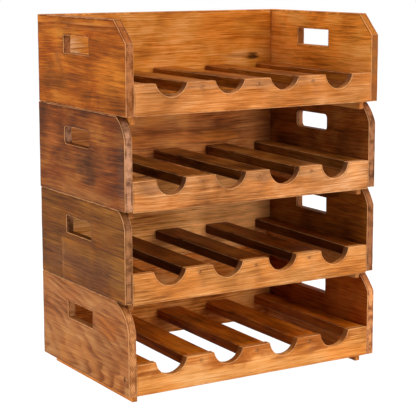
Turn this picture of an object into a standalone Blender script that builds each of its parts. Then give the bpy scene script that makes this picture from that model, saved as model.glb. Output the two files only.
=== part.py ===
"""Stacking wine rack: four nesting bottle crates of varnished hardwood.

A crate is two side panels with hand holes, a back panel, a low front rail with four half-round
notches, five slats that cradle the bottles, and two runner boards. The runners carry the end
slats, and their lower edges drop inside the crate beneath, so the crates nest and lift off one by
one. Nails through the rail hold the three middle slats.

Metres, +Z up. The front faces -Y, and +X is to the right as seen from the front. The origin is on
the floor, under the middle of the rack.
"""

import math
from typing import NamedTuple

import bmesh
import bpy
from mathutils import Matrix

# Driving dimensions of the rack.
RACK_WIDTH = 0.557
RACK_DEPTH = 0.362
CRATE_PITCH = 0.170
BOARD = 0.016
FIT = 0.0003
STAGGER = 0.0005

# Pieces that are the same in every crate.
RAIL_THICKNESS = 0.0155
SLAT_THICKNESS = 0.021
SLAT_ROUND = 0.0045
RUNNER_DROP = 0.0165
RUNNER_THICKNESS = 0.012
RUNNER_REBATE = 0.0015
RUNNER_FRONT_INSET = 0.020
RUNNER_BACK_INSET = 0.0015
HAND_HOLE_FRONT = 0.143
HAND_HOLE_LENGTH = 0.105
HAND_HOLE_HEIGHT = 0.033
NOTCH_SPACING = 0.124
NAIL_LENGTH = 0.045
NAIL_RADIUS = 0.0014
NAIL_HEAD_RADIUS = 0.0028
NAIL_HEAD_THICKNESS = 0.0012
NAIL_SINK = 0.0006
NAIL_BELOW_RAIL_TOP = 0.0105

# Fineness of the round shapes.
NOTCH_SEGMENTS = 14
CORNER_SEGMENTS = 6
ROUND_SEGMENTS = 4
NAIL_SIDES = 8
WELD_DISTANCE = 0.00001

PANEL_HEIGHT = CRATE_PITCH - FIT
FRONT = -RACK_DEPTH / 2
BACK = RACK_DEPTH / 2
INNER_HALF_WIDTH = RACK_WIDTH / 2 - BOARD - FIT
BACK_INNER_FACE = BACK - BOARD

# Rotations that stand a board, drawn flat in its own XY plane, up in the rack.
FACING_SIDE = Matrix(((0, 0, 1), (1, 0, 0), (0, 1, 0))).to_4x4()
FACING_FRONT = Matrix.Rotation(math.pi / 2, 4, "X")


class Corner(NamedTuple):
    """The cut at a side panel's front-top corner. A bulge of zero is a straight cut."""

    back: float
    down: float
    bulge: float


class Crate(NamedTuple):
    """What differs from one hand-built crate to the next."""

    name: str
    left_setback: float
    right_setback: float
    stagger: float
    left_corner: Corner
    right_corner: Corner
    hole_sill: float
    hole_round: float
    rail_bottom: float
    rail_top: float
    notch_shifts: tuple
    notch_widths: tuple
    notch_depths: tuple
    slat_widths: tuple
    slat_skews: tuple
    slat_rise: float
    back_lift: float
    end_slat_gaps: tuple
    side_tone: str
    back_tone: str
    rail_tone: str
    slat_tone: str


CRATES = (
    Crate(
        name="crate_1", left_setback=0.0, right_setback=0.0, stagger=STAGGER,
        left_corner=Corner(0.050, 0.050, 0.0100), right_corner=Corner(0.040, 0.040, 0.003),
        hole_sill=0.0975, hole_round=0.001, rail_bottom=0.0, rail_top=0.0585,
        notch_shifts=(-0.003, -0.003, -0.001, -0.004), notch_widths=(0.065, 0.063, 0.064, 0.068),
        notch_depths=(0.0275, 0.0255, 0.0285, 0.0300), end_slat_gaps=(0.006, 0.001),
        slat_widths=(0.034, 0.058, 0.058, 0.056, 0.042),
        slat_skews=(0.0, 0.009, 0.006, 0.003, 0.0), slat_rise=0.0, back_lift=0.0035,
        side_tone="tan", back_tone="honey", rail_tone="honey", slat_tone="russet",
    ),
    Crate(
        name="crate_2", left_setback=0.011, right_setback=0.005, stagger=STAGGER,
        left_corner=Corner(0.024, 0.036, 0.005), right_corner=Corner(0.024, 0.036, 0.002),
        hole_sill=0.096, hole_round=0.001, rail_bottom=-0.003, rail_top=0.054,
        notch_shifts=(0.001, 0.001, 0.0, -0.001), notch_widths=(0.066, 0.065, 0.064, 0.065),
        notch_depths=(0.0275, 0.0270, 0.0290, 0.0300), end_slat_gaps=(0.001, 0.001),
        slat_widths=(0.038, 0.057, 0.057, 0.057, 0.040),
        slat_skews=(0.0, 0.0, 0.0, 0.0, 0.0), slat_rise=0.0045, back_lift=0.0,
        side_tone="umber", back_tone="honey", rail_tone="amber", slat_tone="umber",
    ),
    Crate(
        name="crate_3", left_setback=0.006, right_setback=0.003, stagger=-STAGGER,
        left_corner=Corner(0.034, 0.043, 0.0065), right_corner=Corner(0.034, 0.043, 0.005),
        hole_sill=0.0985, hole_round=0.008, rail_bottom=-0.003, rail_top=0.054,
        notch_shifts=(0.003, 0.006, 0.002, -0.004), notch_widths=(0.062, 0.066, 0.068, 0.062),
        notch_depths=(0.0300, 0.0290, 0.0310, 0.0290), end_slat_gaps=(0.001, 0.001),
        slat_widths=(0.038, 0.057, 0.057, 0.057, 0.040),
        slat_skews=(0.0, -0.003, -0.003, 0.0, -0.003), slat_rise=0.0045, back_lift=0.0,
        side_tone="umber", back_tone="russet", rail_tone="tan", slat_tone="umber",
    ),
    Crate(
        name="crate_4", left_setback=0.0, right_setback=0.0, stagger=STAGGER,
        left_corner=Corner(0.044, 0.041, 0.0), right_corner=Corner(0.040, 0.040, 0.0),
        hole_sill=0.1005, hole_round=0.001, rail_bottom=0.0, rail_top=0.057,
        notch_shifts=(0.0005, 0.0, -0.003, -0.001), notch_widths=(0.064, 0.063, 0.063, 0.063),
        notch_depths=(0.0250, 0.0250, 0.0245, 0.0280), end_slat_gaps=(0.002, 0.001),
        slat_widths=(0.036, 0.056, 0.056, 0.056, 0.040),
        slat_skews=(0.0, 0.0, 0.0, 0.0, 0.0), slat_rise=0.0, back_lift=0.0,
        side_tone="amber", back_tone="amber", rail_tone="amber", slat_tone="russet",
    ),
)

# Each tone is a linear base colour; the finish is a satin varnish.
TONES = {
    "honey": (0.60, 0.20, 0.050),
    "amber": (0.45, 0.13, 0.025),
    "tan": (0.42, 0.17, 0.055),
    "russet": (0.22, 0.065, 0.015),
    "umber": (0.20, 0.065, 0.018),
    "iron": (0.05, 0.045, 0.04),
}
VARNISH_ROUGHNESS = 0.42
IRON_ROUGHNESS = 0.6


def clear_scene():
    """Remove every object that the scene already holds."""
    for item in list(bpy.data.objects):
        bpy.data.objects.remove(item, do_unlink=True)


def new_collection(name):
    """Make a collection in the scene."""
    collection = bpy.data.collections.new(name)
    bpy.context.scene.collection.children.link(collection)
    return collection


def wood_or_iron(name, tone):
    """Make the piece's own material in one of the rack's tones."""
    material = bpy.data.materials.new(name)
    material.use_nodes = True
    shader = material.node_tree.nodes["Principled BSDF"]
    is_iron = tone == "iron"
    shader.inputs["Base Color"].default_value = (*TONES[tone], 1.0)
    shader.inputs["Roughness"].default_value = IRON_ROUGHNESS if is_iron else VARNISH_ROUGHNESS
    shader.inputs["Metallic"].default_value = 1.0 if is_iron else 0.0
    return material


def arc(centre, radius, start, end, segments):
    """Points along an arc, both ends included; angles in radians, anticlockwise if end > start."""
    steps = [start + (end - start) * step / segments for step in range(segments + 1)]
    return [(centre[0] + radius * math.cos(a), centre[1] + radius * math.sin(a)) for a in steps]


def rounded_rectangle(left, low, right, high, radius):
    """A closed outline with four round corners, anticlockwise."""
    corners = (
        ((right - radius, low + radius), -math.pi / 2),
        ((right - radius, high - radius), 0.0),
        ((left + radius, high - radius), math.pi / 2),
        ((left + radius, low + radius), math.pi),
    )
    outline = []
    for centre, start in corners:
        outline += arc(centre, radius, start, start + math.pi / 2, ROUND_SEGMENTS)
    return outline


def bowed_cut(start, end, bulge):
    """Points from start to end on a shallow bow that stands off the chord by the bulge."""
    if bulge == 0:
        return [start, end]
    run = (end[0] - start[0], end[1] - start[1])
    length = math.hypot(*run)
    outward = (run[1] / length, -run[0] / length)
    points = []
    for step in range(CORNER_SEGMENTS + 1):
        along = step / CORNER_SEGMENTS
        offset = 4 * bulge * along * (1 - along)
        points.append((
            start[0] + run[0] * along + outward[0] * offset,
            start[1] + run[1] * along + outward[1] * offset,
        ))
    return points


def side_outlines(crate, setback, corner):
    """A side panel seen from the right, as (y, z): its edge and its hand hole."""
    front = FRONT + setback
    top_of_cut = (front + corner.back, PANEL_HEIGHT)
    foot_of_cut = (front, PANEL_HEIGHT - corner.down)
    edge = [(front, 0.0), (BACK, 0.0), (BACK, PANEL_HEIGHT)]
    edge += reversed(bowed_cut(foot_of_cut, top_of_cut, -corner.bulge))
    hole_front = FRONT + HAND_HOLE_FRONT
    hole = rounded_rectangle(
        hole_front, crate.hole_sill,
        hole_front + HAND_HOLE_LENGTH, crate.hole_sill + HAND_HOLE_HEIGHT, crate.hole_round,
    )
    return [edge, hole]


def notch_spans(crate):
    """The left and right lip of each bottle notch."""
    spans = []
    for index, (shift, width) in enumerate(zip(crate.notch_shifts, crate.notch_widths)):
        centre = (index - 1.5) * NOTCH_SPACING + shift
        spans.append((centre - width / 2, centre + width / 2))
    return spans


def notch_outline(left, right, top, depth):
    """A round notch cut down from a rail's top edge, from its right lip to its left lip."""
    half = (right - left) / 2
    radius = (half * half + depth * depth) / (2 * depth)
    centre = ((left + right) / 2, top + radius - depth)
    lip = math.atan2(depth - radius, half)
    return arc(centre, radius, lip, -math.pi - lip, NOTCH_SEGMENTS)


def rail_outline(crate):
    """The front rail seen from the front, as (x, z)."""
    outline = [
        (-INNER_HALF_WIDTH, crate.rail_bottom),
        (INNER_HALF_WIDTH, crate.rail_bottom),
        (INNER_HALF_WIDTH, crate.rail_top),
    ]
    for (left, right), depth in reversed(list(zip(notch_spans(crate), crate.notch_depths))):
        outline += notch_outline(left, right, crate.rail_top, depth)
    outline.append((-INNER_HALF_WIDTH, crate.rail_top))
    return outline


def slat_centres(crate):
    """The middle of each slat's front end: beside the panels, and on the lands between notches."""
    spans = notch_spans(crate)
    lands = [(spans[i][1] + spans[i + 1][0]) / 2 for i in range(len(spans) - 1)]
    left_gap, right_gap = crate.end_slat_gaps
    first = -INNER_HALF_WIDTH + left_gap + crate.slat_widths[0] / 2
    last = INNER_HALF_WIDTH - right_gap - crate.slat_widths[-1] / 2
    return [first, *lands, last]


def rail_front(crate, across):
    """How far back the rail's front face stands at a place across the crate."""
    share = across / RACK_WIDTH + 0.5
    return FRONT + crate.left_setback + (crate.right_setback - crate.left_setback) * share


def runner_outline(top, mirror):
    """A runner's section for the left side of a crate, as (x, z); mirror is -1 on the right."""
    outer = -INNER_HALF_WIDTH
    section = [
        (outer + RUNNER_REBATE, -RUNNER_DROP),
        (outer + RUNNER_THICKNESS, -RUNNER_DROP),
        (outer + RUNNER_THICKNESS, top),
        (outer, top),
        (outer, 2 * RUNNER_REBATE),
        (outer + RUNNER_REBATE, RUNNER_REBATE),
    ]
    return [(mirror * x, z) for x, z in section]


def mesh_from_outlines(name, outlines, thickness):
    """Give closed flat outlines an even thickness; an outline inside another is a hole."""
    curve = bpy.data.curves.new(name, "CURVE")
    curve.dimensions = "2D"
    curve.fill_mode = "BOTH"
    curve.extrude = thickness / 2
    for outline in outlines:
        spline = curve.splines.new("POLY")
        spline.points.add(len(outline) - 1)
        for point, (across, up) in zip(spline.points, outline):
            point.co = (across, up, 0.0, 1.0)
        spline.use_cyclic_u = True
    drawing = bpy.data.objects.new(name, curve)
    bpy.context.scene.collection.objects.link(drawing)
    depsgraph = bpy.context.evaluated_depsgraph_get()
    mesh = bpy.data.meshes.new_from_object(drawing.evaluated_get(depsgraph))
    bpy.data.objects.remove(drawing, do_unlink=True)
    bpy.data.curves.remove(curve)
    welded = bmesh.new()
    welded.from_mesh(mesh)
    bmesh.ops.remove_doubles(welded, verts=welded.verts, dist=WELD_DISTANCE)
    bmesh.ops.recalc_face_normals(welded, faces=welded.faces)
    welded.to_mesh(mesh)
    welded.free()
    return mesh


def slope_top(mesh, top, rise):
    """Raise the back end of a runner's top face, so that it follows its slat."""
    for corner in mesh.vertices:
        is_top = abs(corner.co.y - top) < WELD_DISTANCE
        if is_top and corner.co.z < 0:
            corner.co.y += rise


def nail_profile(name, grow, proud):
    """Half of a nail's outline, its head up at z = 0; a cutter is grown, and stands proud."""
    head = NAIL_HEAD_RADIUS + grow
    shank = NAIL_RADIUS + grow
    under_head = -NAIL_HEAD_THICKNESS - grow
    point = -NAIL_LENGTH - grow
    corners = [
        (0.0, 0.0, proud),
        (head, 0.0, proud),
        (head, 0.0, under_head),
        (shank, 0.0, under_head),
        (shank, 0.0, point + 2 * NAIL_RADIUS),
        (0.0, 0.0, point),
    ]
    profile = bpy.data.meshes.new(name)
    profile.from_pydata(corners, [(i, i + 1) for i in range(len(corners) - 1)], [])
    return profile


def turn_on_axis(piece):
    """Turn a profile all the way round its own Z axis."""
    screw = piece.modifiers.new("turn", "SCREW")
    screw.steps = NAIL_SIDES
    screw.render_steps = NAIL_SIDES
    screw.use_merge_vertices = True
    screw.merge_threshold = WELD_DISTANCE
    screw.use_smooth_shade = False


def place(name, mesh, parent, collection, turn, location):
    """Stand a mesh up in the rack, under its crate's empty."""
    piece = bpy.data.objects.new(name, mesh)
    collection.objects.link(piece)
    piece.parent = parent
    piece.matrix_basis = Matrix.Translation(location) @ turn
    return piece


class Builder:
    """Builds one crate's pieces under an empty that stands on its lift axis."""

    def __init__(self, crate, index, rack, cutters):
        self.crate = crate
        self.rack = rack
        self.cutters = cutters
        self.empty = bpy.data.objects.new(crate.name, None)
        self.empty.location = (crate.stagger, 0.0, RUNNER_DROP + index * CRATE_PITCH)
        rack.objects.link(self.empty)

    def board(self, part, outlines, thickness, turn, location, tone):
        """Add one board with its own material."""
        name = f"{self.crate.name}_{part}"
        mesh = mesh_from_outlines(name, outlines, thickness)
        mesh.materials.append(wood_or_iron(name, tone))
        return place(name, mesh, self.empty, self.rack, turn, location)

    def side_panels(self):
        """The two side panels, with hand holes and cut front-top corners."""
        crate = self.crate
        for part, side, setback, corner in (
            ("side_left", -1, crate.left_setback, crate.left_corner),
            ("side_right", 1, crate.right_setback, crate.right_corner),
        ):
            middle = side * (RACK_WIDTH - BOARD) / 2
            self.board(part, side_outlines(crate, setback, corner), BOARD, FACING_SIDE,
                       (middle, 0.0, 0.0), crate.side_tone)

    def back_panel(self):
        """The back panel, held between the side panels."""
        low = self.crate.back_lift
        outline = [
            (-INNER_HALF_WIDTH, low), (INNER_HALF_WIDTH, low),
            (INNER_HALF_WIDTH, PANEL_HEIGHT), (-INNER_HALF_WIDTH, PANEL_HEIGHT),
        ]
        self.board("back_panel", [outline], BOARD, FACING_FRONT,
                   (0.0, BACK - BOARD / 2, 0.0), self.crate.back_tone)

    def front_rail(self):
        """The scalloped rail, from one side panel's front edge to the other's."""
        crate = self.crate
        yaw = Matrix.Rotation(
            math.atan2(crate.right_setback - crate.left_setback, RACK_WIDTH), 4, "Z")
        middle = rail_front(crate, 0.0) + RAIL_THICKNESS / 2
        return self.board("front_rail", [rail_outline(crate)], RAIL_THICKNESS,
                          yaw @ FACING_FRONT, (0.0, middle, 0.0), crate.rail_tone)

    def slats(self):
        """Five slats from the rail to the back panel, a little askew or raised at the back."""
        crate = self.crate
        rail_slope = abs(crate.right_setback - crate.left_setback) / RACK_WIDTH
        height = crate.rail_top - SLAT_THICKNESS / 2 + crate.slat_rise / 2
        pieces = []
        rows = zip(slat_centres(crate), crate.slat_widths, crate.slat_skews)
        for number, (centre, width, skew) in enumerate(rows, start=1):
            rail_back = rail_front(crate, centre) + RAIL_THICKNESS
            run = BACK_INNER_FACE - rail_back
            turn = Matrix.Rotation(-math.atan2(skew, run), 4, "Z")
            tilt = Matrix.Rotation(math.atan2(crate.slat_rise, run), 4, "X")
            end_gap = FIT + width / 2 * (abs(skew) / run + rail_slope)
            end_gap += SLAT_THICKNESS / 2 * crate.slat_rise / run
            section = rounded_rectangle(-width / 2, -SLAT_THICKNESS / 2,
                                        width / 2, SLAT_THICKNESS / 2, SLAT_ROUND)
            pieces.append(self.board(
                f"slat_{number}", [section], run - 2 * end_gap, turn @ tilt @ FACING_FRONT,
                (centre + skew / 2, rail_back + run / 2, height), crate.slat_tone,
            ))
        return pieces

    def runners(self):
        """Two boards on edge that carry the end slats and nest in the crate beneath."""
        crate = self.crate
        top = crate.rail_top - SLAT_THICKNESS - FIT
        for part, mirror, setback in (
            ("runner_left", 1, crate.left_setback), ("runner_right", -1, crate.right_setback),
        ):
            front = FRONT + setback + RUNNER_FRONT_INSET
            length = BACK_INNER_FACE - RUNNER_BACK_INSET - front
            runner = self.board(part, [runner_outline(top, mirror)], length, FACING_FRONT,
                                (0.0, front + length / 2, 0.0), crate.rail_tone)
            slope_top(runner.data, top, crate.slat_rise)

    def rail_nails(self, rail, slats):
        """A nail through the rail into each middle slat, in a hole with a little clearance."""
        crate = self.crate
        height = crate.rail_top - NAIL_BELOW_RAIL_TOP
        for number, (slat, centre) in enumerate(zip(slats, slat_centres(crate))):
            if slat in (slats[0], slats[-1]):
                continue
            head = (centre, rail_front(crate, centre) + NAIL_SINK, height)
            name = f"{crate.name}_rail_nail_{number}"
            profile = nail_profile(name, 0.0, 0.0)
            profile.materials.append(wood_or_iron(name, "iron"))
            turn_on_axis(place(name, profile, self.empty, self.rack, FACING_FRONT, head))
            hole = place(f"{name}_hole", nail_profile(f"{name}_hole", FIT, 4 * NAIL_SINK),
                         self.empty, self.cutters, FACING_FRONT, head)
            turn_on_axis(hole)
            hole.hide_render = True
            hole.display_type = "WIRE"
            for board in (rail, slat):
                cut = board.modifiers.new(f"nail hole {number}", "BOOLEAN")
                cut.operation = "DIFFERENCE"
                cut.solver = "EXACT"
                cut.object = hole

    def build(self):
        """Make the whole crate."""
        self.side_panels()
        self.back_panel()
        rail = self.front_rail()
        slats = self.slats()
        self.runners()
        self.rail_nails(rail, slats)


def build_rack():
    """Make the four crates, from the floor up."""
    clear_scene()
    rack = new_collection("wine_rack")
    cutters = new_collection("cutters")
    for index, crate in enumerate(CRATES):
        Builder(crate, index, rack, cutters).build()


build_rack()
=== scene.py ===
"""The stacking wine rack's finished look: worn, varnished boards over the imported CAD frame.

Every CAD board is rebuilt from its own outline with eased, unevenly worn arrises and its own
procedural wood. A board's local axes are X along the grain, Y across it and Z out of its show
face, so that the grain, the glued staves and the patches can be placed in metres from its middle.
"""

import math
import random
from typing import NamedTuple

import bmesh
import bpy
import numpy
from mathutils import Matrix, Vector, noise
from mathutils.geometry import delaunay_2d_cdt


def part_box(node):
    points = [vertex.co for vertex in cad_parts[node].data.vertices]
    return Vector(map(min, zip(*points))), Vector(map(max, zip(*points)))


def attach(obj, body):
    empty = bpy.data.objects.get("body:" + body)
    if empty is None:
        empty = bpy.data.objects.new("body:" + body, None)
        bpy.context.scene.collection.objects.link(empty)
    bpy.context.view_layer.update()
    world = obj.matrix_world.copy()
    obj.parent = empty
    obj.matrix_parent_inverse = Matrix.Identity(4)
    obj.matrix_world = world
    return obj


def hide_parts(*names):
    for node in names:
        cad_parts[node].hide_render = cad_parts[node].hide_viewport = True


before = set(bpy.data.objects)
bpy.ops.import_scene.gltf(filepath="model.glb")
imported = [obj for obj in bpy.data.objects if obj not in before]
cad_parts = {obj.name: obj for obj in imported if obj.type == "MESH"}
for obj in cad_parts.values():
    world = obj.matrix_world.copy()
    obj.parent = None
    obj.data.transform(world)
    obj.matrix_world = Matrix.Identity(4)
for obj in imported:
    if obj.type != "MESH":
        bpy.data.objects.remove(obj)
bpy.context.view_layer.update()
CRATES = ("crate_1", "crate_2", "crate_3", "crate_4")
UP = Vector((0, 0, 1))

# Shape of the worn edges, in metres unless a comment says otherwise.
ARRIS = 0.0014
ARRIS_UNEVENNESS = 0.6  # share of the arris
ARRIS_WAVES = 45  # per metre
ARRIS_STEPS = 3
WEAR_BAND = 0.0036
RIM_WEAR = 0.6  # wear where an arris meets the flat faces, 1 being its middle
CORNER_FILLET = 0.0022
FILLET_STEPS = 3
FILLET_SHARE = 0.45  # of the shorter edge at a corner, at most
GUARD_SHARE = 0.48
GUARD_DISTANCE = 2.5 * CORNER_FILLET
SHARP_TURN = math.radians(33)
LONG_EDGE = 0.010
EDGE_STEP = 0.010
CURVE_STEPS = 3
BAR_STEP = 0.022
BAR_WOBBLE = 0.0004
BAR_WAVES = 40  # per metre round the section
BAR_LONG_WAVES = 14  # per metre from end to end
BAR_END_SHARE = 0.2  # of a section's edge, at most
BEND = math.radians(4)
FOLD_SHARE = 0.97  # an inset point nearer than this share of its distance has folded over
WELD = 0.00002
SAME_PLANE = 10 * WELD
FILL_TOLERANCE = 0.0001  # share of the area
NAIL_HOLE = 0.004
HOLE_SIDES = 16
NAIL_SIDES = 20


# ---------------------------------------------------------------------------------------------
# Outlines, taken from the CAD boards
# ---------------------------------------------------------------------------------------------

def merged(node):
    """A CAD node's mesh with its split corners welded."""
    body = bmesh.new()
    body.from_mesh(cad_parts[node].data)
    bmesh.ops.remove_doubles(body, verts=body.verts, dist=WELD)
    body.normal_update()
    return body


def face_loops(body, towards):
    """The flat face furthest out in a direction: its normal and its closed edge loops."""
    facing = [f for f in body.faces if f.normal.dot(towards) > 0.9]
    outermost = max(facing, key=lambda f: f.calc_center_median().dot(towards))
    normal = outermost.normal.copy()
    height = outermost.calc_center_median().dot(normal)
    cap = {f for f in body.faces
           if f.normal.dot(normal) > 0.9999
           and abs(f.calc_center_median().dot(normal) - height) < SAME_PLANE}
    following = {}
    for face in cap:
        for loop in face.loops:
            if all(other is face or other not in cap for other in loop.edge.link_faces):
                following[loop.vert] = loop.link_loop_next.vert
    loops = []
    while following:
        start, corner = following.popitem()
        points = [start.co.copy()]
        while corner is not start:
            points.append(corner.co.copy())
            corner = following.pop(corner)
        loops.append(points)
    return normal, loops


def area(outline):
    """Signed area of a flat outline, positive if it runs anticlockwise."""
    pairs = zip(outline, outline[1:] + outline[:1])
    return sum(a.x * b.y - b.x * a.y for a, b in pairs) / 2


def turns_round(outline, spots):
    """How many times a closed outline goes round each spot."""
    turns = numpy.zeros(len(spots), dtype=int)
    for a, b in zip(outline, outline[1:] + outline[:1]):
        side = (b.x - a.x) * (spots[:, 1] - a.y) - (b.y - a.y) * (spots[:, 0] - a.x)
        rising = (a.y <= spots[:, 1]) & (spots[:, 1] < b.y) & (side > 0)
        falling = (b.y <= spots[:, 1]) & (spots[:, 1] < a.y) & (side < 0)
        turns += rising.astype(int) - falling.astype(int)
    return turns


def turn_at(outline, i):
    """How much an outline turns at a point, in radians."""
    before = outline[i] - outline[i - 1]
    after = outline[(i + 1) % len(outline)] - outline[i]
    return abs(before.angle_signed(after, 0.0))


def tangent_at(outline, i, incoming):
    """The direction in which a curved edge reaches a point, or None at a sharp corner."""
    if turn_at(outline, i) > SHARP_TURN:
        return None
    before = outline[i] - outline[i - 1]
    after = outline[(i + 1) % len(outline)] - outline[i]
    beyond = after if incoming else before
    if beyond.length > LONG_EDGE:
        return beyond.normalized()
    return (before.normalized() + after.normalized()).normalized()


def plate_shares(length):
    """Where to put points along a plate's long edge: every EDGE_STEP."""
    steps = math.ceil(length / EDGE_STEP)
    return [k / steps for k in range(steps)]


def bar_shares(length):
    """Where to put points along a bar section's long edge: a few, most of them near its ends."""
    near = min(BAR_END_SHARE, WEAR_BAND / length)
    return [0.0, near, 0.33, 0.67, 1.0 - near]


def smoothed(outline, shares):
    """Refine an outline: short edges become smooth curves, and long ones get more points."""
    points = []
    for i, start in enumerate(outline):
        end = outline[(i + 1) % len(outline)]
        chord = end - start
        if chord.length > LONG_EDGE:
            points += [start + chord * share for share in shares(chord.length)]
            continue
        leave = tangent_at(outline, i, False)
        arrive = tangent_at(outline, (i + 1) % len(outline), True)
        along = chord.normalized()
        if leave is None and arrive is None:
            points.append(start)
            continue
        if leave is None:
            leave = 2 * along.dot(arrive) * along - arrive
        if arrive is None:
            arrive = 2 * along.dot(leave) * along - leave
        for k in range(CURVE_STEPS):
            t = k / CURVE_STEPS
            points.append(
                start * (2 * t ** 3 - 3 * t ** 2 + 1) + end * (3 * t ** 2 - 2 * t ** 3)
                + leave * chord.length * (t ** 3 - 2 * t ** 2 + t)
                + arrive * chord.length * (t ** 3 - t ** 2)
            )
    return points


def filleted(outline):
    """Round an outline's sharp corners a little; also say how worn each point's corner is."""
    points = []
    wear = []
    for i, corner in enumerate(outline):
        turn = turn_at(outline, i)
        if turn < SHARP_TURN:
            points.append(corner)
            wear.append(0.0)
            continue
        before = outline[i - 1] - corner
        after = outline[(i + 1) % len(outline)] - corner
        shorter = min(before.length, after.length)
        cut = min(CORNER_FILLET * math.tan(turn / 2), FILLET_SHARE * shorter)
        start = corner + before.normalized() * cut
        end = corner + after.normalized() * cut
        guard = min(GUARD_DISTANCE, GUARD_SHARE * shorter)
        points.append(corner + before.normalized() * guard)
        for k in range(FILLET_STEPS + 1):
            t = k / FILLET_STEPS
            points.append(start.lerp(corner, t).lerp(corner.lerp(end, t), t))
        points.append(corner + after.normalized() * guard)
        wear += [0.0, 0.5] + [1.0] * (FILLET_STEPS - 1) + [0.5, 0.0]
    return points, wear


def inset(outline, distances):
    """Move each point of an anticlockwise outline inwards by its own distance."""
    moved = []
    for i, corner in enumerate(outline):
        before = (corner - outline[i - 1]).normalized()
        after = (outline[(i + 1) % len(outline)] - corner).normalized()
        bisector = before + after
        if bisector.length < 0.2:
            bisector = before
        bisector.normalize()
        inwards = Vector((-bisector.y, bisector.x))
        moved.append(corner + inwards * (distances[i] / max(0.5, bisector.dot(after))))
    return moved


def unfolded(ring, outline, distance):
    """An inset ring without the points that folded over to less than its distance in."""
    kept = []
    for p in ring:
        gaps = []
        for i, start in enumerate(outline):
            edge = start - outline[i - 1]
            share = min(1.0, max(0.0, (start - p).dot(edge) / edge.length_squared))
            gaps.append((start - edge * share - p).length_squared)
        if min(gaps) > (FOLD_SHARE * distance) ** 2:
            kept.append(p)
    return kept


# ---------------------------------------------------------------------------------------------
# Board meshes
# ---------------------------------------------------------------------------------------------

class Skin:
    """Collects rings of points and the faces between them, with the wear at each point."""

    def __init__(self):
        self.points = []
        self.wear = []
        self.faces = []

    def ring(self, outline, depth, wear):
        """Add a closed ring of points at a depth, and return their numbers."""
        first = len(self.points)
        self.points += [Vector((p.x, p.y, depth)) for p in outline]
        self.wear += [wear] * len(outline) if isinstance(wear, float) else wear
        return list(range(first, len(self.points)))

    def strip(self, upper, lower):
        """Join two rings of equal length."""
        count = len(upper)
        for i in range(count):
            j = (i + 1) % count
            self.faces.append((upper[i], lower[i], lower[j], upper[j]))

    def fill(self, rings, upwards):
        """Fill the flat space inside the first ring and outside the others."""
        outlines = [[self.points[n].xy for n in ring] for ring in rings]
        flat = []
        numbers = []
        faces = []
        for ring, outline in zip(rings, outlines):
            order = list(range(len(flat), len(flat) + len(ring)))
            faces.append(order if area(outline) > 0 else order[::-1])
            flat += outline
            numbers += ring
        places, _, triangles, sources, _, owners = delaunay_2d_cdt(flat, [], faces, 0, 1e-7)
        wanted = [list(owner) == [0] for owner in owners]
        filled = sum(area([places[k] for k in corners])
                     for corners, keep in zip(triangles, wanted) if keep)
        sizes = [abs(area(outline)) for outline in outlines]
        if abs(filled - sizes[0] + sum(sizes[1:])) > FILL_TOLERANCE * sizes[0]:
            # A ring that crosses itself misleads the owners, so count its turns instead.
            spots = numpy.array([sum((places[k] for k in corners), Vector((0, 0))) / 3
                                 for corners in triangles])
            wanted = turns_round(outlines[0], spots) != 0
            for outline in outlines[1:]:
                wanted &= turns_round(outline, spots) == 0
        depth = self.points[rings[0][0]].z
        found = []
        for place, source in zip(places, sources):
            found.append(numbers[source[0]] if source else self.ring([place], depth, 0.0)[0])
        for corners, keep in zip(triangles, wanted):
            if keep:
                a, b, c = (found[k] for k in corners)
                self.faces.append((a, b, c) if upwards else (a, c, b))

    def mesh(self, name, axes):
        """Make the mesh; axes says which local axis each of a point's numbers lies along."""
        mesh = bpy.data.meshes.new(name)
        places = [Vector((p[axes[0]], p[axes[1]], p[axes[2]])) for p in self.points]
        mesh.from_pydata(places, [], self.faces)
        attribute = mesh.attributes.new("wear", "FLOAT", "POINT")
        attribute.data.foreach_set("value", self.wear)
        mesh.shade_smooth()
        tidy = bmesh.new()
        tidy.from_mesh(mesh)
        bmesh.ops.remove_doubles(tidy, verts=tidy.verts, dist=WELD / 4)
        bmesh.ops.recalc_face_normals(tidy, faces=tidy.faces)
        tidy.to_mesh(mesh)
        tidy.free()
        return mesh


def arris_sizes(outline, seed):
    """How far the arris is worn back at each point of an outline."""
    sizes = []
    for p in outline:
        uneven = noise.noise(Vector((p.x * ARRIS_WAVES, p.y * ARRIS_WAVES, seed * 3.7)))
        sizes.append(ARRIS * (1 + ARRIS_UNEVENNESS * uneven))
    return sizes


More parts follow.
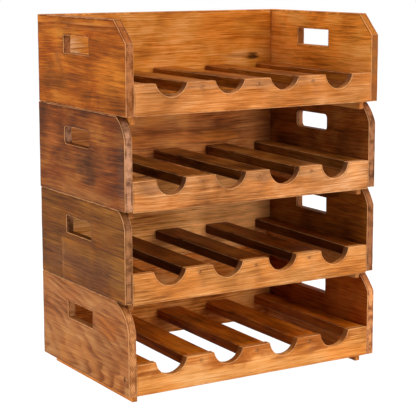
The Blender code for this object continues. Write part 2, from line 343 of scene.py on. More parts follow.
def plate_mesh(name, outer, holes, pits, thickness, seed):
    """A board cut from a plank: an outline with holes, its arrises worn on both faces."""
    skin = Skin()
    half = thickness / 2
    inner_rings = {1: [], -1: []}
    for number, outline in enumerate([outer, *holes]):
        coarse = smoothed(outline, plate_shares)
        fine, corners = filleted(coarse)
        sizes = arris_sizes(fine, seed + number)
        reach = ARRIS + WEAR_BAND
        clean = unfolded(inset(coarse, [reach] * len(coarse)), coarse, reach)
        rims = {}
        for side in (1, -1):
            band = skin.ring(clean, side * half, 0.0)
            inner_rings[side].append(band)
            rings = []
            for step in range(ARRIS_STEPS + 1):
                angle = math.pi / 2 * step / ARRIS_STEPS
                cut = inset(fine, [s * (1 - math.sin(angle)) for s in sizes])
                ring = skin.ring(cut, 0.0, RIM_WEAR if step in (0, ARRIS_STEPS) else 1.0)
                for n, s in zip(ring, sizes):
                    skin.points[n].z = side * (half - s * (1 - math.cos(angle)))
                rings.append(ring)
            loop = [band, rings[0]] if number else [rings[0], band]
            skin.fill(loop, side > 0)
            rings.append(skin.ring(fine, side * (half - reach), list(corners)))
            for upper, lower in zip(rings, rings[1:]):
                skin.strip(upper, lower)
            rims[side] = rings[-1]
        skin.strip(rims[1], rims[-1])
    for centre, radius, depth in pits:
        rim = [centre + Vector((math.cos(a), math.sin(a))) * radius
               for a in (k * math.tau / HOLE_SIDES for k in range(HOLE_SIDES))]
        top = skin.ring(rim, half, 0.0)
        floor = skin.ring(rim, half - depth, 0.0)
        inner_rings[1].append(top)
        skin.strip(top, floor)
        skin.fill([floor], True)
    for side in (1, -1):
        skin.fill(inner_rings[side], side > 0)
    return skin.mesh(name, (0, 1, 2))


def bar_wear(outline, corners):
    """The wear round a bar's section, most in the middle of each rounded edge."""
    count = len(outline)
    bends = [turn_at(outline, i) > BEND for i in range(count)]
    wear = list(corners)
    for i in range(count):
        if bends[i]:
            before = next(k for k in range(count) if not bends[i - k - 1])
            after = next(k for k in range(count) if not bends[(i + k + 1) % count])
            off_middle = abs(before - after) / max(1, before + after)
            wear[i] = max(wear[i], 1.0 - off_middle)
    return wear


def bar_mesh(name, front, back, length, seed):
    """A board that is one section from end to end: its back section first, then to the front."""
    skin = Skin()
    front_fine, corners = filleted(smoothed(front, bar_shares))
    back_fine, _ = filleted(smoothed(back, bar_shares))
    worn = bar_wear(front_fine, corners)
    stations = [(0.0, ARRIS), (ARRIS * 0.3, ARRIS * 0.3), (ARRIS, 0.0)]
    steps = math.ceil(length / BAR_STEP)
    inner = length - 2 * ARRIS
    stations += [(ARRIS + inner * k / steps, 0.0) for k in range(1, steps)]
    stations += [(length - depth, cut) for depth, cut in reversed(stations[:3])]
    rings = []
    for place, cut in stations:
        share = place / length
        section = [b.lerp(f, share) for b, f in zip(back_fine, front_fine)]
        wobble = [
            cut + BAR_WOBBLE * (0.5 + 0.5 * noise.noise(
                Vector((place * BAR_LONG_WAVES, p.x * BAR_WAVES + seed * 5.1, p.y * BAR_WAVES))))
            for p in section
        ]
        rings.append(skin.ring(inset(section, wobble), place - length / 2, list(worn)))
    for lower, upper in zip(rings, rings[1:]):
        skin.strip(upper, lower)
    skin.fill([rings[0]], False)
    skin.fill([rings[-1]], True)
    return skin.mesh(name, (2, 0, 1))


def nail_head_mesh(name, radius, length):
    """A nail with a slightly domed head, on local Z with its head's top at zero."""
    crown = radius * 0.16
    profile = [
        (0.0, 0.0), (radius * 0.45, -crown * 0.2), (radius * 0.8, -crown * 0.75),
        (radius, -crown * 1.6), (radius * 0.97, -crown * 2.2), (radius * 0.48, -crown * 2.8),
        (radius * 0.46, -length * 0.9), (0.0, -length),
    ]
    turned = bmesh.new()
    corners = [turned.verts.new((r, 0.0, z)) for r, z in profile]
    edges = [turned.edges.new(pair) for pair in zip(corners, corners[1:])]
    bmesh.ops.spin(turned, geom=corners + edges, cent=(0, 0, 0), axis=(0, 0, 1),
                   angle=math.tau, steps=NAIL_SIDES, use_merge=True)
    bmesh.ops.remove_doubles(turned, verts=turned.verts, dist=WELD)
    bmesh.ops.recalc_face_normals(turned, faces=turned.faces)
    mesh = bpy.data.meshes.new(name)
    turned.to_mesh(mesh)
    turned.free()
    mesh.shade_smooth()
    return mesh


def add_piece(node, mesh, axes, centre):
    """Put a mesh with local axes in the frame, in place of a CAD node."""
    piece = bpy.data.objects.new(f"{node}_wood", mesh)
    bpy.context.scene.collection.objects.link(piece)
    turn = Matrix(axes).transposed().to_4x4()
    piece.matrix_world = Matrix.Translation(centre) @ turn
    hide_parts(node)
    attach(piece, node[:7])
    return piece


def rebuild_plate(node, show, seed):
    """Rebuild a board cut from a plank, given the way its show face looks."""
    body = merged(node)
    normal, loops = face_loops(body, show)
    grain = UP.cross(normal).normalized()
    across = normal.cross(grain)
    low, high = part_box(node)
    depths = [v.co.dot(normal) for v in body.verts]
    body.free()
    thickness = max(depths) - min(depths)
    middle = (low + high) / 2
    centre = middle + normal * (max(depths) - thickness / 2 - middle.dot(normal))
    flats = []
    for loop in loops:
        flats.append([Vector(((p - centre).dot(grain), (p - centre).dot(across)))
                      for p in loop])
    flats.sort(key=lambda outline: -abs(area(outline)))
    outer = flats[0] if area(flats[0]) > 0 else flats[0][::-1]
    holes = []
    pits = []
    for hole in flats[1:]:
        wide = max(p.x for p in hole) - min(p.x for p in hole)
        if wide > 2 * NAIL_HOLE:
            holes.append(hole if area(hole) < 0 else hole[::-1])
        else:
            pits.append((sum(hole, Vector((0, 0))) / len(hole), wide / 2, NAIL_HOLE / 2))
    mesh = plate_mesh(f"{node}_wood", outer, holes, pits, thickness, seed)
    return add_piece(node, mesh, (grain, across, normal), centre)


def rebuild_bar(node, seed):
    """Rebuild a slat or runner: X towards the front, Y to the right, Z up."""
    body = merged(node)
    normal, front_loops = face_loops(body, Vector((0, -1, 0)))
    _, back_loops = face_loops(body, Vector((0, 1, 0)))
    depths = [v.co.dot(normal) for v in body.verts]
    body.free()
    length = max(depths) - min(depths)
    right = normal.cross(UP).normalized() * -1
    up = normal.cross(right)
    low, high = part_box(node)
    middle = (low + high) / 2
    centre = middle + normal * (max(depths) - length / 2 - middle.dot(normal))
    sections = []
    for loops in (front_loops, back_loops):
        loop = max(loops, key=lambda points: max((a - b).length for a in points for b in points))
        flat = [Vector(((p - centre).dot(right), (p - centre).dot(up))) for p in loop]
        if area(flat) < 0:
            flat.reverse()
        first = min(range(len(flat)), key=lambda i: flat[i].x + 1.7 * flat[i].y)
        sections.append(flat[first:] + flat[:first])
    mesh = bar_mesh(f"{node}_wood", sections[0], sections[1], length, seed)
    return add_piece(node, mesh, (normal, right, up), centre)


def rebuild_nail(node):
    """Rebuild a rail nail, its head looking forwards."""
    low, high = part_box(node)
    normal = Vector((0, -1, 0))
    mesh = nail_head_mesh(f"{node}_head", (high.x - low.x) / 2, high.y - low.y)
    centre = Vector(((low.x + high.x) / 2, low.y, (low.z + high.z) / 2))
    return add_piece(node, mesh, (Vector((1, 0, 0)), UP, normal), centre)


# ---------------------------------------------------------------------------------------------
# Varnished wood
# ---------------------------------------------------------------------------------------------

def tone(code):
    """A linear colour from a hexadecimal screen colour."""
    parts = [int(code[i:i + 2], 16) / 255 for i in (0, 2, 4)]
    linear = [p / 12.92 if p <= 0.04045 else ((p + 0.055) / 1.055) ** 2.4 for p in parts]
    return (*linear, 1.0)


class Patch(NamedTuple):
    """A soft-edged patch of another tone: its middle and half-sizes along and across the grain."""

    along: float
    across: float
    half_length: float
    half_height: float
    colour: str
    strength: float


class Look(NamedTuple):
    """How one board looks: its tones from dark to light, and where its figure lies."""

    dark: str
    mid: str
    light: str
    figure: float = 0.16
    ring_gap: float = 0.007
    pith: tuple = (0.06, -0.05)
    climb: float = 0.05
    streaks: float = 0.6
    blotches: float = 0.5
    seams: tuple = ()
    butts: tuple = ()
    stave_shift: float = 0.1
    worn: float = 0.65
    worn_colour: str = "d89c68"
    grime: float = 0.75
    end_colour: str = "a06a44"
    patches: tuple = ()
    saw_marks: float = 0.0
    # how far a bar's flanks are darkened as painted shade
    flank_shade: float = 0.0


class Graph:
    """Short calls for building a material's node tree."""

    def __init__(self, material):
        self.tree = material.node_tree

    def node(self, kind, **settings):
        """Add a node and set its properties."""
        made = self.tree.nodes.new(kind)
        for name, value in settings.items():
            setattr(made, name, value)
        return made

    def feed(self, socket, value):
        """Connect an output to a socket, or set the socket's own value."""
        if isinstance(value, bpy.types.NodeSocket):
            self.tree.links.new(value, socket)
        else:
            socket.default_value = value

    def math(self, operation, *values):
        """A Math node's result."""
        made = self.node("ShaderNodeMath", operation=operation)
        for socket, value in zip(made.inputs, values):
            self.feed(socket, value)
        return made.outputs[0]

    def vector(self, operation, *values):
        """A Vector Math node's result."""
        made = self.node("ShaderNodeVectorMath", operation=operation)
        for socket, value in zip(made.inputs, values):
            self.feed(socket, value)
        return made.outputs[0]

    def noise(self, place, scale, detail=3.0, rough=0.55, warp=0.0):
        """Noise from 0 to 1, with its middle at a half."""
        made = self.node("ShaderNodeTexNoise", noise_dimensions="3D")
        self.feed(made.inputs["Vector"], place)
        made.inputs["Scale"].default_value = scale
        made.inputs["Detail"].default_value = detail
        made.inputs["Roughness"].default_value = rough
        made.inputs["Distortion"].default_value = warp
        return made.outputs[0]

    def drawn_out(self, place, scales, detail, rough=0.55, warp=0.0):
        """Noise with its own scale along each axis, per metre."""
        return self.noise(self.vector("MULTIPLY", place, scales), 1.0, detail, rough, warp)

    def fade(self, value, start, end):
        """0 at start and 1 at end, with a smooth step between."""
        made = self.node("ShaderNodeMapRange", interpolation_type="SMOOTHSTEP")
        self.feed(made.inputs["Value"], value)
        made.inputs["From Min"].default_value = start
        made.inputs["From Max"].default_value = end
        return made.outputs["Result"]

    def remap(self, value, low, high):
        """Stretch 0 to 1 over another range, without clamping."""
        return self.math("MULTIPLY_ADD", value, high - low, low)

    def mix(self, share, first, second, blend="MIX"):
        """Mix two colours."""
        made = self.node("ShaderNodeMix", data_type="RGBA", blend_type=blend)
        self.feed(made.inputs["Factor"], share)
        sockets = [s for s in made.inputs if s.type == "RGBA"]
        self.feed(sockets[0], first)
        self.feed(sockets[1], second)
        return next(s for s in made.outputs if s.type == "RGBA")

    def ramp(self, value, stops):
        """A colour ramp through (place, colour) stops."""
        made = self.node("ShaderNodeValToRGB")
        elements = made.color_ramp.elements
        while len(elements) < len(stops):
            elements.new(0.5)
        for element, (place, colour) in zip(elements, stops):
            element.position = place
            element.color = colour
        self.feed(made.inputs[0], value)
        return made.outputs["Color"]

    def bump(self, shader, height, strength, distance):
        """Raise and lower a shader's surface by a height."""
        made = self.node("ShaderNodeBump")
        made.inputs["Strength"].default_value = strength
        made.inputs["Distance"].default_value = distance
        self.feed(made.inputs["Height"], height)
        self.feed(shader.inputs["Normal"], made.outputs[0])


# How finely each noise varies along and across the grain, per metre.
DRIFT = (3.0, 7.0, 7.0)
FIBRE = (22.0, 900.0, 900.0)
STREAK = (6.0, 230.0, 230.0)
GRAIN = (9.0, 480.0, 480.0)
BAND = (2.6, 34.0, 34.0)
VEIN = (11.0, 95.0, 95.0)
BLOTCH = (9.0, 17.0, 17.0)
RING_WOBBLE = (4.0, 16.0, 16.0)
RING_STRENGTH = (5.0, 30.0, 30.0)
HUE = (8.0, 14.0, 14.0)
PORE = (95.0, 1900.0, 1900.0)

# Half-widths of a glue line: its soft outside and its dark middle, in metres.
GLUE_LINE = (0.0011, 0.0002)
BUTT_STAVE = 5.0  # added to the stave's number beyond a butt joint
YELLOWER = (1.05, 0.96, 0.80, 1)
BLUER = (0.95, 1.01, 1.10, 1)


class Spot(NamedTuple):
    """Where a point is on a board and in its wood, as node outputs; tint_start is a number."""

    place: object
    along: object
    across: object
    out: object
    stave: object
    joint: object
    wood: object
    flow: object
    tint_start: float


class Figure(NamedTuple):
    """The node outputs for a board's figure; level is how light its wood is, from 0 to 1."""

    fibre: object
    streak: object
    vein: object
    blotch: object
    late: object
    level: object


def numbered_staves(g, look, place, along, across):
    """Number the glued staves, each a different piece of wood, and mark the joints between."""
    height = across
    if look.seams:
        height = g.math("ADD", across, g.remap(g.noise(place, 6.0, 1.0), -0.002, 0.002))
    stave = 0.0
    joint = 0.0
    for seam in look.seams:
        stave = g.math("ADD", stave, g.math("GREATER_THAN", height, seam))
        gap = g.math("ABSOLUTE", g.math("SUBTRACT", height, seam))
        joint = g.math("MAXIMUM", joint, g.fade(gap, *GLUE_LINE))
    for butt, low, high in look.butts:
        inside = g.math("MULTIPLY", g.math("GREATER_THAN", height, low),
                        g.math("LESS_THAN", height, high))
        beyond = g.math("MULTIPLY", inside, g.math("GREATER_THAN", along, butt))
        stave = g.math("MULTIPLY_ADD", beyond, BUTT_STAVE, stave)
        gap = g.math("ABSOLUTE", g.math("SUBTRACT", along, butt))
        joint = g.math("MAXIMUM", joint, g.math("MULTIPLY", inside, g.fade(gap, *GLUE_LINE)))
    return stave, joint


def find_spot(g, look, place, seed):
    """Where a point is: on the board, in its stave, and in the wandering grain."""
    split = g.node("ShaderNodeSeparateXYZ")
    g.feed(split.inputs[0], place)
    along, across, out = split.outputs
    stave, joint = numbered_staves(g, look, place, along, across)
    random_source = random.Random(seed)
    shift = g.node("ShaderNodeCombineXYZ")
    for socket in shift.inputs:
        g.feed(socket, g.math("MULTIPLY_ADD", stave, random_source.uniform(0.23, 0.41),
                              random_source.uniform(-0.9, 0.9)))
    wood = g.vector("ADD", place, shift.outputs[0])
    wander = g.node("ShaderNodeCombineXYZ")
    g.feed(wander.inputs[1], g.remap(g.drawn_out(wood, DRIFT, 2.0), -0.012, 0.012))
    flow = g.vector("ADD", wood, wander.outputs[0])
    return Spot(place, along, across, out, stave, joint, wood, flow, random_source.random())


def late_wood(g, look, spot):
    """Growth rings round a pith outside the board, which climbs towards the face."""
    rise = g.math("MULTIPLY", spot.along, look.climb)
    side = g.math("SUBTRACT", spot.across, look.pith[0])
    deep = g.math("SUBTRACT", g.math("ADD", spot.out, rise), look.pith[1])
    radius = g.math("SQRT", g.math("ADD", g.math("MULTIPLY", side, side),
                                   g.math("MULTIPLY", deep, deep)))
    wobble = g.drawn_out(spot.flow, RING_WOBBLE, 3.0)
    count = g.math("ADD", g.math("DIVIDE", radius, look.ring_gap),
                   g.math("MULTIPLY", wobble, 3.0))
    count = g.math("ADD", count, g.math("MULTIPLY", spot.stave, 0.37))
    ring = g.math("FRACT", count)
    strength = g.fade(g.drawn_out(spot.flow, RING_STRENGTH, 3.0), 0.3, 0.75)
    late = g.math("MULTIPLY", g.fade(ring, 0.2, 0.85), g.fade(ring, 1.0, 0.86))
    return g.math("MULTIPLY", late, strength)


def wood_figure(g, look, spot):
    """Fibres, streaks, bands and blotches drawn out along the grain, and the rings."""
    fibre = g.drawn_out(spot.flow, FIBRE, 2.0, 0.6)
    streak = g.drawn_out(spot.flow, STREAK, 4.0, 0.7)
    grain = g.drawn_out(spot.flow, GRAIN, 3.0, 0.6)
    band = g.drawn_out(spot.flow, BAND, 2.0, 0.5)
    vein = g.drawn_out(spot.flow, VEIN, 3.0, 0.6, 0.4)
    blotch = g.drawn_out(spot.wood, BLOTCH, 4.0, 0.55, 0.9)
    cloud = g.noise(spot.wood, 7.0, 2.0, 0.45, 0.6)
    late = late_wood(g, look, spot)
    level = g.math("MULTIPLY_ADD", late, -look.figure, 0.5 + 0.12 * look.figure)
    for source, weight in ((streak, 1.1 * look.streaks), (band, 0.8 * look.streaks),
                           (blotch, 1.7 * look.blotches), (cloud, 1.6 * look.blotches),
                           (fibre, 1.0), (grain, 0.9)):
        level = g.math("MULTIPLY_ADD", g.math("SUBTRACT", source, 0.5), weight, level)
    if look.seams:
        tint = g.math("FRACT", g.math("MULTIPLY_ADD", spot.stave, 0.618, spot.tint_start))
        level = g.math("ADD", level, g.remap(tint, -look.stave_shift, look.stave_shift))
    level = g.math("MULTIPLY_ADD", g.fade(vein, 0.60, 0.74), -0.30 * look.streaks, level)
    return Figure(fibre, streak, vein, blotch, late, level)


def toned(g, look, spot, level):
    """The board's tones by level, a little yellower in places and bluer in others."""
    colour = g.ramp(level, [
        (0.08, tone(look.dark)), (0.5, tone(look.mid)), (0.92, tone(look.light))])
    hue = g.drawn_out(spot.wood, HUE, 3.0, 0.5, 1.2)
    return g.mix(g.fade(hue, 0.34, 0.66), g.mix(1.0, colour, YELLOWER, "MULTIPLY"),
                 g.mix(1.0, colour, BLUER, "MULTIPLY"))


def patched(g, patch, spot, figure, colour):
    """Lay a patch of another tone, with ragged edges, that keeps the board's figure."""
    x = g.math("DIVIDE", g.math("SUBTRACT", spot.along, patch.along), patch.half_length)
    y = g.math("DIVIDE", g.math("SUBTRACT", spot.across, patch.across), patch.half_height)
    away = g.math("SQRT", g.math("ADD", g.math("MULTIPLY", x, x), g.math("MULTIPLY", y, y)))
    uneven = g.math("SUBTRACT", g.math("ADD", figure.blotch, figure.vein), 1.0)
    ragged = g.math("MULTIPLY_ADD", uneven, 2.4, away)
    share = g.math("MULTIPLY", g.fade(ragged, 1.2, 0.4), patch.strength)
    shade = g.ramp(figure.level, [(0.1, (0.5, 0.45, 0.4, 1)), (0.5, (1, 1, 1, 1)),
                                  (0.9, (1.4, 1.45, 1.5, 1))])
    return g.mix(share, colour, g.mix(1.0, tone(patch.colour), shade, "MULTIPLY"))


def speckled(g, look, spot, end, colour):
    """Speckle the end grain."""
    speckle = g.math("MULTIPLY_ADD", g.math("SUBTRACT", g.noise(spot.wood, 60.0, 3.0), 0.5), 1.6,
                     g.noise(spot.wood, 620.0, 2.0, 0.7))
    end_tone = g.mix(g.fade(speckle, 0.05, 0.75), tone(look.dark), tone(look.end_colour))
    return g.mix(g.math("MULTIPLY", end, 0.85), colour, end_tone)


def sawn(g, look, spot, end, colour):
    """Score the end grain with slanting saw marks."""
    slope = g.math("ADD", g.math("MULTIPLY", spot.across, 0.5), spot.out)
    teeth = g.math("SINE", g.math("MULTIPLY_ADD", g.noise(spot.wood, 90.0), 5.0,
                                  g.math("MULTIPLY", slope, 1500.0)))
    return g.mix(g.math("MULTIPLY", end, g.fade(teeth, 0.0, 1.0)), colour,
                 g.mix(look.saw_marks, colour, tone(look.dark)))


def wood_material(name, look, seed):
    """One board's varnished wood, drawn in its own local axes."""
    material = bpy.data.materials.new(name)
    material.use_nodes = True
    g = Graph(material)
    shader = g.tree.nodes["Principled BSDF"]
    coords = g.node("ShaderNodeTexCoord")
    spot = find_spot(g, look, coords.outputs["Object"], seed)
    figure = wood_figure(g, look, spot)
    colour = toned(g, look, spot, figure.level)
    for patch in look.patches:
        colour = patched(g, patch, spot, figure, colour)
    pore = g.fade(g.drawn_out(spot.flow, PORE, 1.0), 0.64, 0.74)
    colour = g.mix(g.math("MULTIPLY", pore, 0.3), colour, tone(look.dark))

    # End grain, and flanks darkened as painted shade, by the way the surface faces.
    facing = g.node("ShaderNodeSeparateXYZ")
    g.feed(facing.inputs[0], coords.outputs["Normal"])
    end = g.fade(g.math("ABSOLUTE", facing.outputs[0]), 0.45, 0.95)
    flank = g.fade(g.math("ABSOLUTE", facing.outputs[1]), 0.5, 0.9)
    colour = speckled(g, look, spot, end, colour)
    # Painted shade: a slat's flanks, which face its neighbours, darkened towards the board's
    # darkest tone.
    colour = g.mix(g.math("MULTIPLY", flank, look.flank_shade), colour, tone(look.dark))
    if look.saw_marks:
        colour = sawn(g, look, spot, end, colour)

    # Grime beside the arrises, and the arrises where the varnish has rubbed through.
    wear = g.node("ShaderNodeAttribute", attribute_name="wear").outputs["Fac"]
    patchy = g.noise(spot.place, 48.0, 3.0, 0.6)
    grime = g.math("MULTIPLY", g.fade(wear, 0.08, 0.35), g.fade(wear, 0.8, 0.6))
    colour = g.mix(g.math("MULTIPLY", grime, g.fade(patchy, 0.62, 0.42)), colour,
                   g.mix(look.grime, colour, tone(look.dark)))
    rubbed = g.math("MULTIPLY", g.fade(wear, 0.62, 0.95), g.fade(patchy, 0.32, 0.48))
    colour = g.mix(g.math("MULTIPLY", rubbed, look.worn), colour, tone(look.worn_colour))
    colour = g.mix(g.math("MULTIPLY", spot.joint, 0.55), colour, tone(look.dark))
    g.feed(shader.inputs["Base Color"], colour)

    rough = g.remap(g.noise(spot.place, 24.0, 3.0), 0.30, 0.52)
    for source, extra in ((rubbed, 0.18), (end, 0.12), (pore, 0.15)):
        rough = g.math("MULTIPLY_ADD", source, extra, rough)
    g.feed(shader.inputs["Roughness"], rough)
    shader.inputs["Specular IOR Level"].default_value = 0.06
    height = g.math("MULTIPLY", figure.fibre, 0.35)
    for source, rise in ((pore, -0.6), (figure.late, 0.3), (figure.streak, 0.5),
                         (spot.joint, -1.2)):
        height = g.math("MULTIPLY_ADD", source, rise, height)
    g.bump(shader, height, 0.5, 0.0005)
    return material


def nail_material(name, look):
    """A dark nail head under old varnish, with a little rust and rub."""
    material = bpy.data.materials.new(name)
    material.use_nodes = True
    g = Graph(material)
    shader = g.tree.nodes["Principled BSDF"]
    place = g.node("ShaderNodeTexCoord").outputs["Object"]
    rust = g.noise(place, 900.0, 4.0, 0.65)
    colour = g.mix(g.fade(rust, 0.35, 0.65), tone(look.dark), tone(look.mid))
    g.feed(shader.inputs["Base Color"], colour)
    g.feed(shader.inputs["Roughness"], g.remap(rust, 0.35, 0.75))
    shader.inputs["Metallic"].default_value = 0.35
    g.bump(shader, rust, 0.4, 0.0002)
    return material


# ---------------------------------------------------------------------------------------------
# Each board's look
# ---------------------------------------------------------------------------------------------

# Tones are hexadecimal screen colours. A patch lies in metres from the middle of its board.
LOOKS = {
    "crate_1": {
        "side_left": Look("7a4018", "a06232", "bc824a", figure=0.55, climb=0.22, ring_gap=0.012,
                          pith=(-0.06, -0.09), blotches=0.55, saw_marks=0.5,
                          end_colour="d8945c",
                          patches=(Patch(0.10, 0.03, 0.04, 0.02, "b5651f", 0.5),
                                   Patch(-0.12, 0.0, 0.05, 0.06, "9c5c2c", 0.5),
                                   Patch(0.02, -0.045, 0.12, 0.02, "b87840", 0.5),
                                   Patch(0.165, -0.055, 0.004, 0.006, "4a220c", 0.9))),
        "side_right": Look("5c1e05", "9c4610", "c06824", end_colour="e09a60"),
        "back_panel": Look("7c3808", "dc8034", "f8b068", blotches=0.7),
        "front_rail": Look("a45c20", "d88c44", "ecb070", streaks=0.4, blotches=0.35, grime=0.4,
                           end_colour="885430",
                           patches=(Patch(0.0, 0.024, 0.3, 0.024, "a45820", 0.9),)),
        "slats": Look("642804", "b4580c", "d47c24", streaks=1.1, worn=0.4, flank_shade=0.3),
        "runners": Look("8a4512", "d98438", "eea860", end_colour="e0964c"),
    },
    "crate_2": {
        "side_left": Look("452208", "74400c", "986020", seams=(0.0,), blotches=0.45,
                          butts=((-0.085, -0.1, 0.0),), stave_shift=0.12,
                          end_colour="a87048",
                          patches=(Patch(0.0, -0.045, 0.2, 0.035, "643a20", 0.5),
                                   Patch(-0.078, -0.04, 0.005, 0.04, "8c5a30", 0.5))),
        "side_right": Look("4c2408", "904e18", "b87830", end_colour="9c6440"),
        "back_panel": Look("804014", "cc8844", "f0b47c",
                           patches=(Patch(-0.08, 0.06, 0.10, 0.02, "784420", 0.4),
                                    # Painted light: the wide light patch on the right lightens the
                                    # part of the back panel that lies in shade under the crate
                                    # above and beside the right panel.
                                    Patch(0.20, 0.03, 0.20, 0.12, "f4a864", 0.8))),
        "front_rail": Look("7c4418", "c47c3c", "e0a870", streaks=0.4, blotches=0.4, grime=0.4,
                           end_colour="6c4430"),
        "slats": Look("301404", "642a04", "905018", streaks=1.0, worn=0.5, flank_shade=0.6),
        "runners": Look("7a4014", "c0763a", "dca060", end_colour="c07c44"),
    },
    "crate_3": {
        "side_left": Look("482410", "783c14", "a46428", blotches=0.7, end_colour="c48c68",
                          patches=(Patch(0.03, -0.02, 0.05, 0.035, "5c3418", 0.85),
                                   Patch(-0.12, 0.02, 0.03, 0.03, "964e20", 0.5),
                                   Patch(0.09, 0.0, 0.04, 0.03, "a05a26", 0.5),
                                   Patch(0.0, -0.075, 0.15, 0.015, "9a6230", 0.5),
                                   Patch(0.165, 0.0, 0.012, 0.09, "6c4834", 0.5))),
        "side_right": Look("40200a", "84461a", "b27032", blotches=0.7, end_colour="a8704c"),
        "back_panel": Look("542c14", "a86030", "d88c48", blotches=0.7,
                           patches=(Patch(-0.09, 0.0, 0.04, 0.012, "dc8434", 0.7),
                                    Patch(0.12, -0.01, 0.05, 0.012, "e08434", 0.7))),
        "front_rail": Look("6c3c18", "b8743c", "dca474", streaks=0.45, blotches=0.55, grime=0.4,
                           end_colour="6c4430",
                           patches=(Patch(-0.2, 0.015, 0.05, 0.014, "8c5c3c", 0.6),
                                    Patch(0.0, 0.02, 0.25, 0.010, "a87850", 0.5))),
        "slats": Look("341604", "804410", "b07438", streaks=1.0, worn=0.55, flank_shade=0.45),
        "runners": Look("7a4014", "c0763a", "dca060", end_colour="b87440"),
    },
    "crate_4": {
        "side_left": Look("643006", "9c4e0c", "c07426", seams=(0.070,),
                          stave_shift=0.05, blotches=0.65, end_colour="a86a40",
                          patches=(Patch(-0.11, -0.03, 0.06, 0.03, "784010", 0.65),
                                   Patch(-0.01, -0.03, 0.05, 0.008, "7a3c10", 0.65),
                                   Patch(-0.09, 0.01, 0.02, 0.025, "8c4c1e", 0.6),
                                   Patch(0.12, 0.0, 0.06, 0.05, "c87420", 0.6),
                                   Patch(0.0, 0.0735, 0.2, 0.0018, "b87c44", 0.35),
                                   Patch(0.02, 0.064, 0.2, 0.0018, "b87c44", 0.25))),
        "side_right": Look("884410", "e88c30", "f8b060", end_colour="603820",
                           patches=(Patch(-0.02, 0.0, 0.05, 0.04, "c06414", 0.5),)),
        "back_panel": Look("884208", "c47424", "e09c5c",
                           patches=(Patch(0.215, -0.012, 0.018, 0.008, "3c1c08", 0.95),
                                    Patch(0.18, -0.010, 0.05, 0.006, "784010", 0.6),
                                    Patch(-0.235, 0.03, 0.035, 0.05, "dca878", 0.85))),
        "front_rail": Look("784014", "b87034", "dc9c64", streaks=0.45, blotches=0.45, grime=0.4,
                           end_colour="74482c",
                           patches=(Patch(0.0, 0.02, 0.25, 0.008, "b07c54", 0.5),
                                    Patch(0.15, 0.0, 0.06, 0.02, "ac6020", 0.6))),
        "slats": Look("542404", "944c10", "b46c28", streaks=1.0, worn=0.4),
        "runners": Look("8a4818", "c47838", "dca060", end_colour="c07438"),
    },
}
NAIL_LOOK = Look("8c5a30", "b87a44", "d09a64")

TOWARDS_FRONT = Vector((0, -1, 0))
PLATES = (
    ("side_left", Vector((-1, 0, 0))),
    ("side_right", Vector((-1, 0, 0))),
    ("back_panel", TOWARDS_FRONT),
    ("front_rail", TOWARDS_FRONT),
)


def dress_crate(crate, first_seed):
    """Rebuild and dress every board and nail of one crate."""
    looks = LOOKS[crate]
    seed = first_seed
    for part, show in PLATES:
        seed += 1
        piece = rebuild_plate(f"{crate}_{part}", show, seed)
        piece.data.materials.append(wood_material(piece.name, looks[part], seed))
    bars = [(f"slat_{number}", "slats") for number in range(1, 6)]
    bars += [("runner_left", "runners"), ("runner_right", "runners")]
    for part, look in bars:
        seed += 1
        piece = rebuild_bar(f"{crate}_{part}", seed)
        piece.data.materials.append(wood_material(piece.name, looks[look], seed))
    for number in (1, 2, 3):
        piece = rebuild_nail(f"{crate}_rail_nail_{number}")
        piece.data.materials.append(nail_material(piece.name, NAIL_LOOK))


# ---------------------------------------------------------------------------------------------
# Stage, light and camera
# ---------------------------------------------------------------------------------------------

FLOOR_SIZE = 12
FLOOR_GLOW = 1.16
FLOOR_GLOW_SHARE = 0.86
AMBIENT = 0.38
LIGHT_TARGET = (0, 0, 0.35)
CAMERA_PLACE = (-1.4162, -2.3108, 0.7930)
CAMERA_AZIMUTH = math.radians(31.52)
CAMERA_DROP = math.radians(9.18)
CAMERA_ROLL = math.radians(0.09)
CAMERA_LENS = 119.8
CAMERA_SHIFT = -0.05


def add_floor():
    """A plain pale floor that glows a little, so that it shows as white as the backdrop."""
    bpy.ops.mesh.primitive_plane_add(size=FLOOR_SIZE)
    floor = bpy.context.object
    floor.name = "floor"
    material = bpy.data.materials.new("floor")
    material.use_nodes = True
    g = Graph(material)
    diffuse = g.tree.nodes["Principled BSDF"]
    diffuse.inputs["Base Color"].default_value = (0.9, 0.9, 0.9, 1)
    diffuse.inputs["Roughness"].default_value = 0.9
    glow = g.node("ShaderNodeEmission")
    glow.inputs["Strength"].default_value = FLOOR_GLOW
    seen = g.node("ShaderNodeLightPath").outputs["Is Camera Ray"]
    blend = g.node("ShaderNodeMixShader")
    g.feed(blend.inputs[0], g.math("MULTIPLY", seen, FLOOR_GLOW_SHARE))
    g.feed(blend.inputs[1], diffuse.outputs[0])
    g.feed(blend.inputs[2], glow.outputs[0])
    g.feed(g.tree.nodes["Material Output"].inputs["Surface"], blend.outputs[0])
    floor.data.materials.append(material)


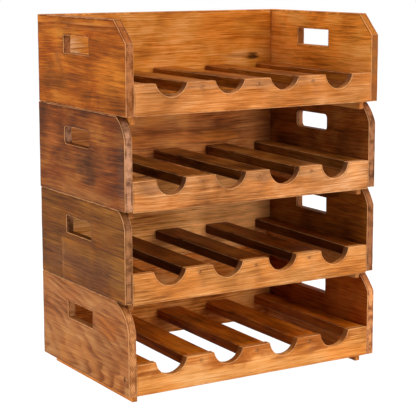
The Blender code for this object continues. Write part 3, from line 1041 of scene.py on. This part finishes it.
def light_world():
    """A white backdrop, and an even soft light of its own strength."""
    world = bpy.data.worlds.new("studio")
    bpy.context.scene.world = world
    world.use_nodes = True
    tree = world.node_tree
    background = tree.nodes["Background"]
    background.inputs["Color"].default_value = (1, 1, 1, 1)
    path = tree.nodes.new("ShaderNodeLightPath")
    level = tree.nodes.new("ShaderNodeMapRange")
    level.inputs["To Min"].default_value = AMBIENT
    level.inputs["To Max"].default_value = 1.0
    tree.links.new(path.outputs["Is Camera Ray"], level.inputs["Value"])
    tree.links.new(level.outputs["Result"], background.inputs["Strength"])


def add_softbox(name, place, size, power):
    """A square area light that looks at the middle of the rack."""
    light = bpy.data.lights.new(name, "AREA")
    light.shape = "SQUARE"
    light.size = size
    light.energy = power
    lamp = bpy.data.objects.new(name, light)
    lamp.location = place
    towards = Vector(LIGHT_TARGET) - Vector(place)
    lamp.rotation_euler = towards.to_track_quat("-Z", "Y").to_euler()
    bpy.context.scene.collection.objects.link(lamp)


def add_camera():
    """The camera: to the left of the rack, a little above its top, with a long lens."""
    data = bpy.data.cameras.new("camera")
    data.lens = CAMERA_LENS
    data.shift_y = CAMERA_SHIFT
    camera = bpy.data.objects.new("camera", data)
    forward = Vector((math.sin(CAMERA_AZIMUTH) * math.cos(CAMERA_DROP),
                      math.cos(CAMERA_AZIMUTH) * math.cos(CAMERA_DROP), -math.sin(CAMERA_DROP)))
    camera.rotation_mode = "QUATERNION"
    level = forward.to_track_quat("-Z", "Y")
    camera.rotation_quaternion = level @ Matrix.Rotation(-CAMERA_ROLL, 4, "Z").to_quaternion()
    camera.location = CAMERA_PLACE
    bpy.context.scene.collection.objects.link(camera)
    bpy.context.scene.camera = camera


for index, crate_name in enumerate(CRATES):
    dress_crate(crate_name, 20 * index + 1)
add_floor()
light_world()
add_softbox("key", (0.9, -2.8, 1.5), 1.8, 70)
add_softbox("top", (0.2, -0.6, 3.0), 1.8, 34)
add_softbox("fill", (-2.8, 0.6, 0.9), 1.6, 50)
add_camera()
bpy.context.scene.view_settings.view_transform = "Standard"
